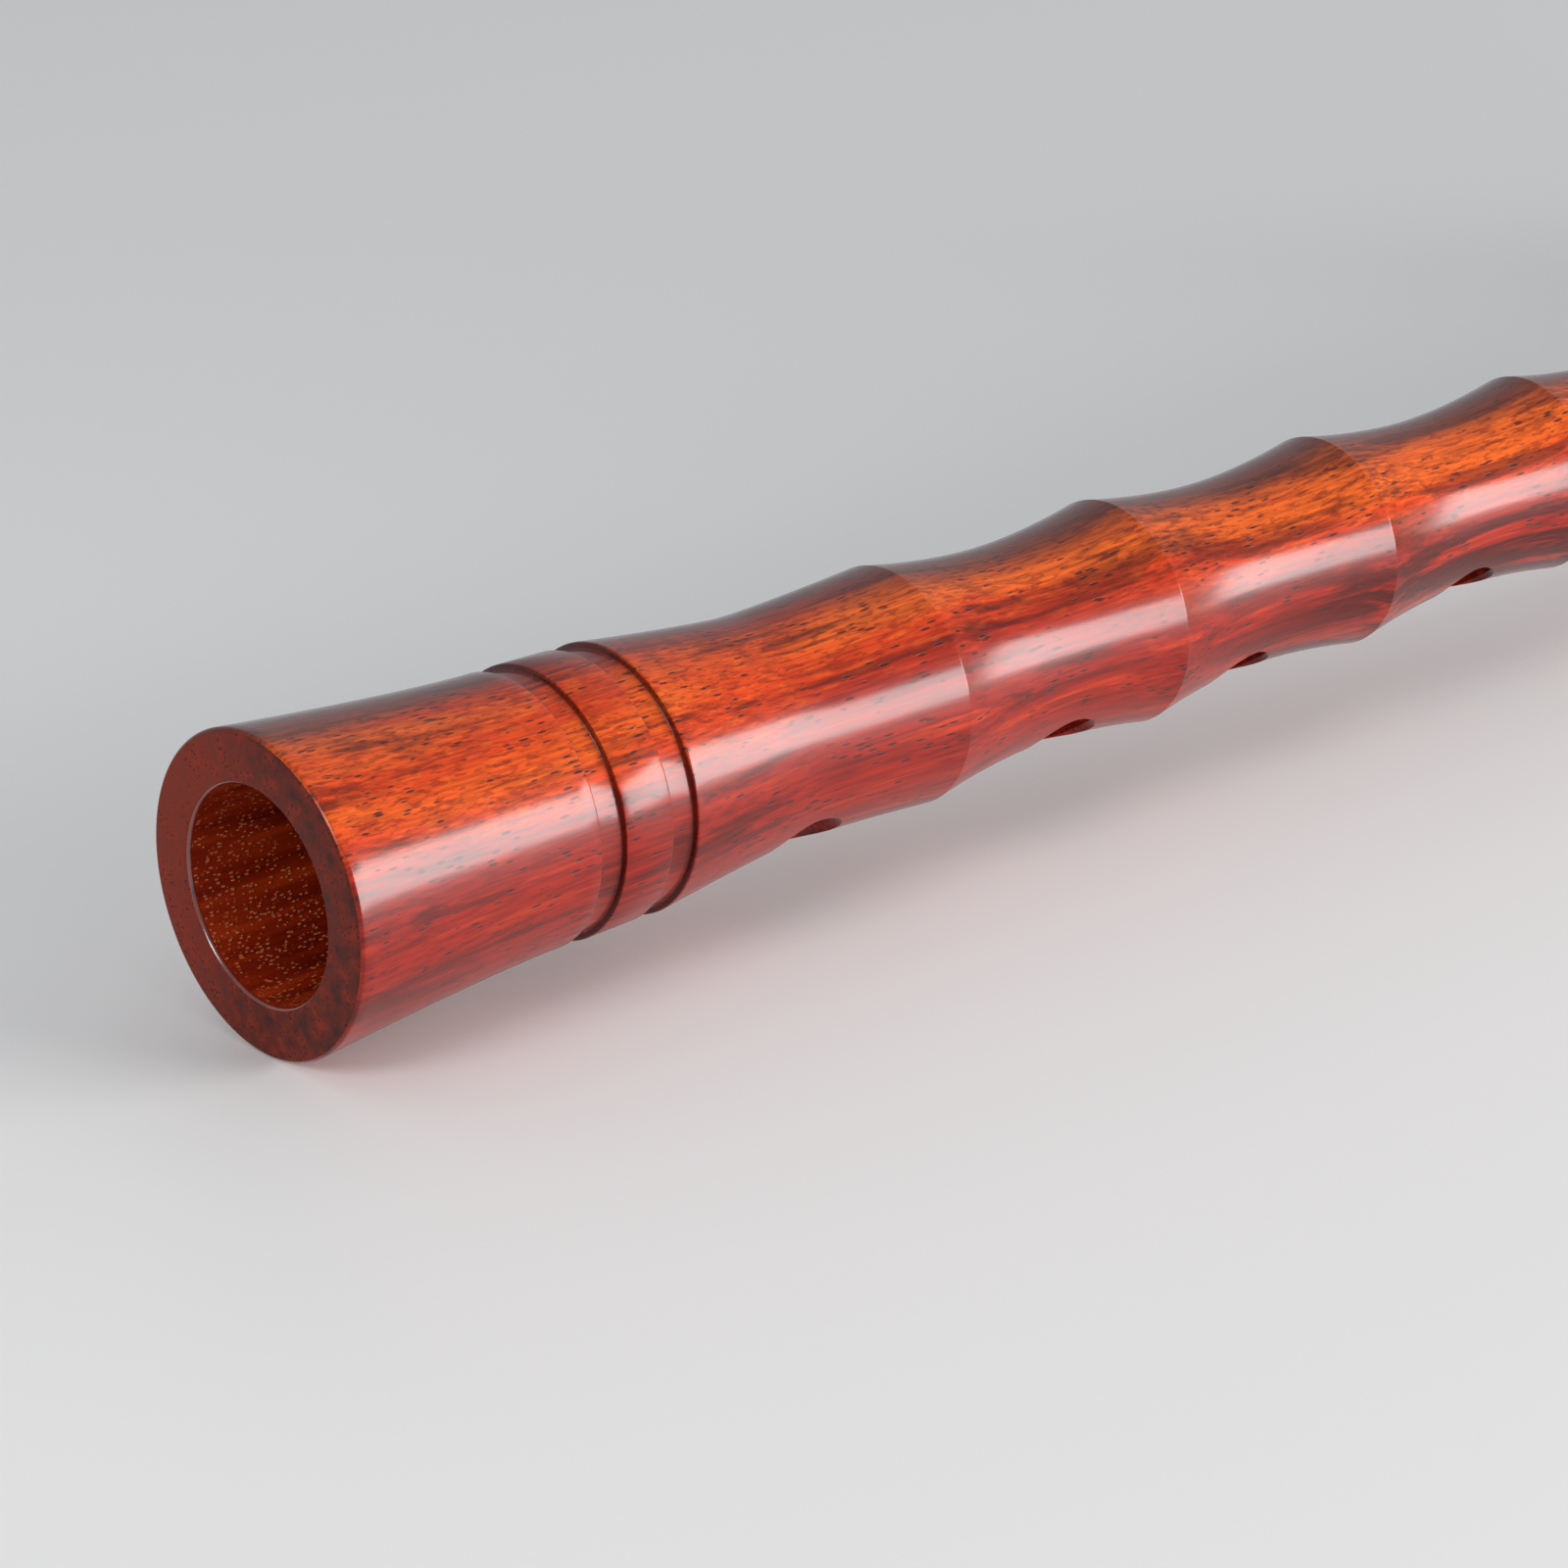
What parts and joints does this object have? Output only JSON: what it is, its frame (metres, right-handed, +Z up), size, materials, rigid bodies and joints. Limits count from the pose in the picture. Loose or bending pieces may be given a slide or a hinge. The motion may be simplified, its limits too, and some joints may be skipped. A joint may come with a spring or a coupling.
{
  "type": "suona",
  "caption": "Conical double-reed horn: turned rosewood stem with finger holes, brass staple, lip disc and cane reed, and its flared brass bell taken off and stood beside it.",
  "frame": {"origin": "on the surface, under the middle of the bounding box", "axes": "+X runs level from the stem's flared foot towards its reed, +Z is up"},
  "size_m": [0.3952, 0.1742, 0.1249],
  "materials": {
    "rosewood": "clear gloss lacquer over red-orange rosewood",
    "brass": "spun and polished",
    "staple_brass": "drawn tube, satin",
    "cotton_thread": "waxed thread",
    "cane": "scraped cane",
    "copper_wire": "drawn wire"
  },
  "bodies": {
    "stem": {"wooden_stem": "rosewood", "stem_ferrule": "brass"},
    "staple": {"staple_tube": "staple_brass", "staple_lapping": "cotton_thread", "lower_bead": "brass", "upper_bead": "brass", "tip_lapping": "cotton_thread"},
    "lip_disc": {"lip_disc": "brass"},
    "reed": {"reed_cane": "cane", "reed_wire": "copper_wire"},
    "bell": {"bell_cone": "brass", "bell_neck_ring": "brass", "bell_seam_band": "brass", "bell_flare": "brass", "bell_rim_roll": "brass"}
  },
  "joints": [
    {"name": "staple_pull", "type": "slide", "parent": "stem", "child": "staple", "axis": [0.9998, 0, 0.02], "range_m": [0, 0.012]},
    {"name": "lip_disc_turn", "type": "hinge", "parent": "staple", "child": "lip_disc", "pos_m": [0.10001, 0.0661, 0.02095], "axis": [0.9998, 0, 0.02], "continuous": true},
    {"name": "reed_pull", "type": "slide", "parent": "staple", "child": "reed", "axis": [0.9998, 0, 0.02], "range_m": [0, 0.012]},
    {"name": "bell_lift", "type": "slide", "parent": "stem", "child": "bell", "axis": [0, 0, 1], "range_m": [0, 0.12]}
  ]
}
